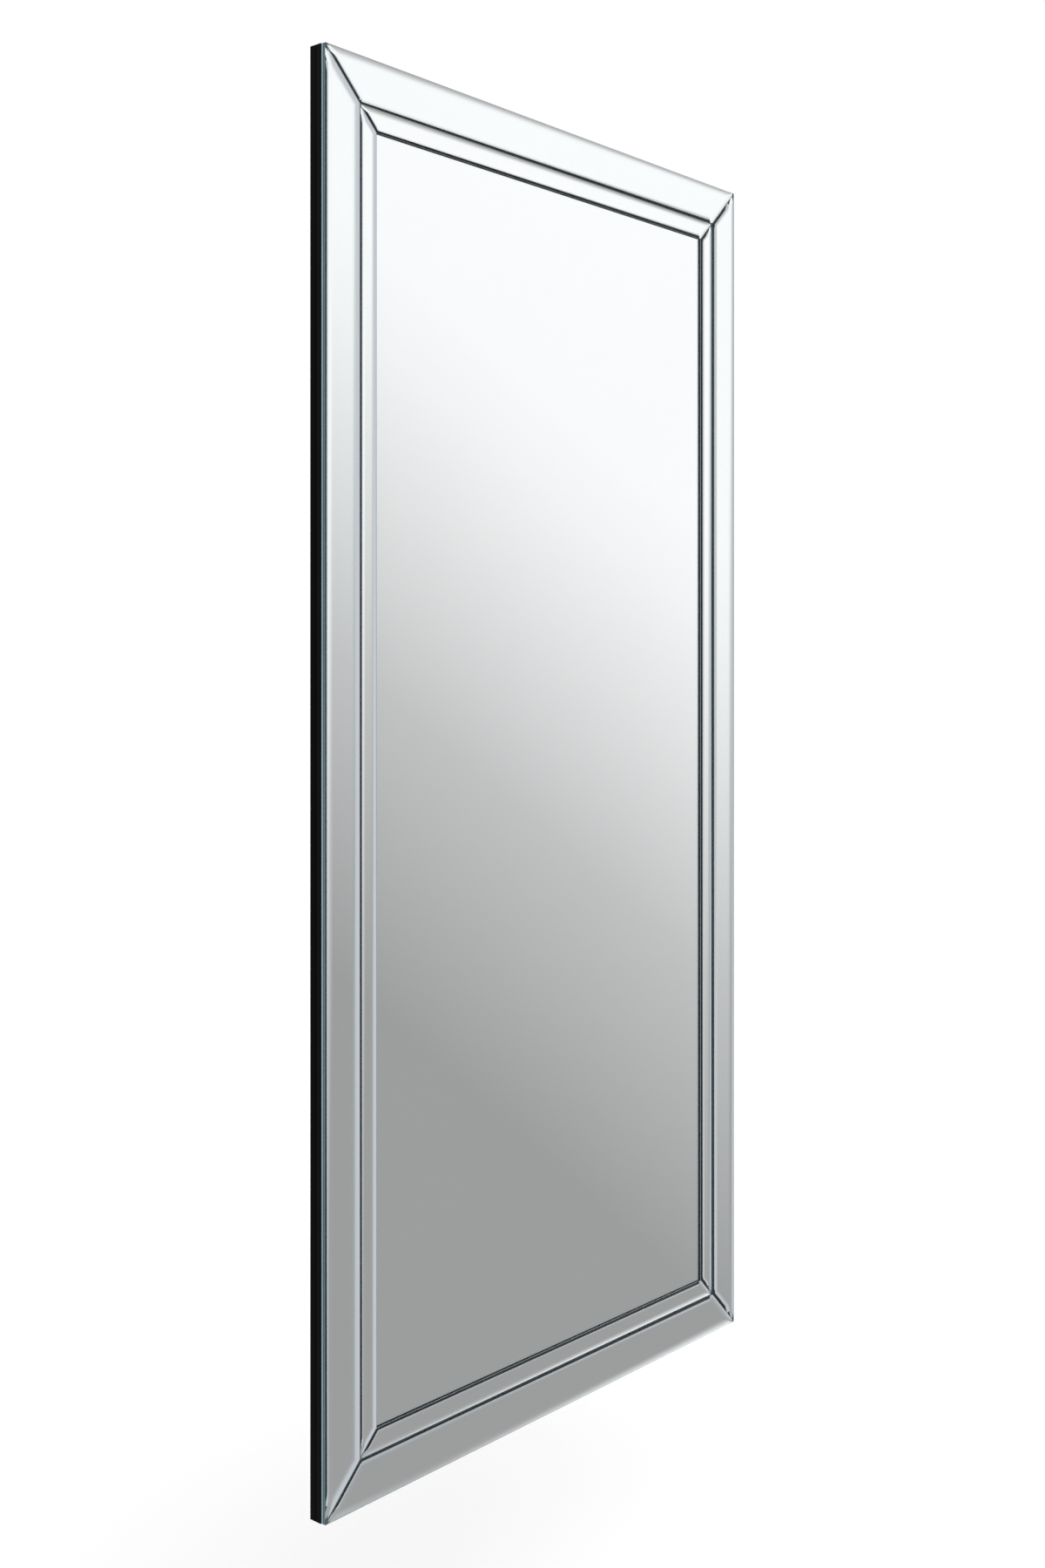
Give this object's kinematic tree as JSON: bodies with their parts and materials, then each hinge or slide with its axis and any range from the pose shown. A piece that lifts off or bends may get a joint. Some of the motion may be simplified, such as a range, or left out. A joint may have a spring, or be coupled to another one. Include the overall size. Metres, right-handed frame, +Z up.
{
  "type": "full-length wall mirror",
  "caption": "Full-length wall mirror: mirror sheet framed by bevelled mirror strips, on a black board that hangs on swinging D-rings.",
  "frame": {"origin": "bottom centre of the bounding box: the middle of the bottom edge, halfway between the wall pads' faces and the front of the glass", "axes": "+Z up along the mirror's height, -Y out of the mirror's face towards the viewer, +Y into the wall, +X to the viewer's right"},
  "size_m": [0.85, 0.0342, 1.74],
  "materials": {
    "mirror_glass": "polished clear glass, silvered and painted on its back, with ground and polished bevels and edges",
    "black_board": "fibreboard under a plain satin black lacquer",
    "adhesive": "black mirror adhesive and bonding tape",
    "ring_steel": "bright zinc plate",
    "strap_steel": "bright zinc plate",
    "screw_steel": "zinc plate",
    "black_rubber": "matt black rubber"
  },
  "bodies": {
    "mirror": {"batten_screws": "screw_steel", "bottom_batten": "black_board", "cross_batten_1": "black_board", "cross_batten_2": "black_board", "front_panel": "black_board", "hanger_screws": "screw_steel", "hanger_strap_landscape_lower": "strap_steel", "hanger_strap_landscape_upper": "strap_steel", "hanger_strap_portrait_left": "strap_steel", "hanger_strap_portrait_right": "strap_steel", "inner_strip_bottom": "mirror_glass", "inner_strip_left": "mirror_glass", "inner_strip_right": "mirror_glass", "inner_strip_tapes": "adhesive", "inner_strip_top": "mirror_glass", "mirror_sheet": "mirror_glass", "outer_strip_bottom": "mirror_glass", "outer_strip_left": "mirror_glass", "outer_strip_right": "mirror_glass", "outer_strip_tapes": "adhesive", "outer_strip_top": "mirror_glass", "sheet_adhesive_beads": "adhesive", "side_batten_left": "black_board", "side_batten_right": "black_board", "top_batten": "black_board", "wall_pad_lower_left": "black_rubber", "wall_pad_lower_right": "black_rubber", "wall_pad_upper_left": "black_rubber", "wall_pad_upper_right": "black_rubber"},
    "portrait_left_ring": {"hanger_ring_portrait_left": "ring_steel"},
    "portrait_right_ring": {"hanger_ring_portrait_right": "ring_steel"},
    "landscape_upper_ring": {"hanger_ring_landscape_upper": "ring_steel"},
    "landscape_lower_ring": {"hanger_ring_landscape_lower": "ring_steel"}
  },
  "joints": [
    {"name": "portrait_left_ring_swing", "type": "hinge", "parent": "mirror", "child": "portrait_left_ring", "pos_m": [-0.393, 0.0132, 1.52], "axis": [-1, 0, 0], "range_deg": [0, 170]},
    {"name": "portrait_right_ring_swing", "type": "hinge", "parent": "mirror", "child": "portrait_right_ring", "pos_m": [0.393, 0.0132, 1.52], "axis": [-1, 0, 0], "range_deg": [0, 170]},
    {"name": "landscape_upper_ring_swing", "type": "hinge", "parent": "mirror", "child": "landscape_upper_ring", "pos_m": [0.39575, 0.0132, 1.34], "axis": [0, 0, 1], "range_deg": [0, 170]},
    {"name": "landscape_lower_ring_swing", "type": "hinge", "parent": "mirror", "child": "landscape_lower_ring", "pos_m": [0.39575, 0.0132, 0.4], "axis": [0, 0, 1], "range_deg": [0, 170]}
  ]
}
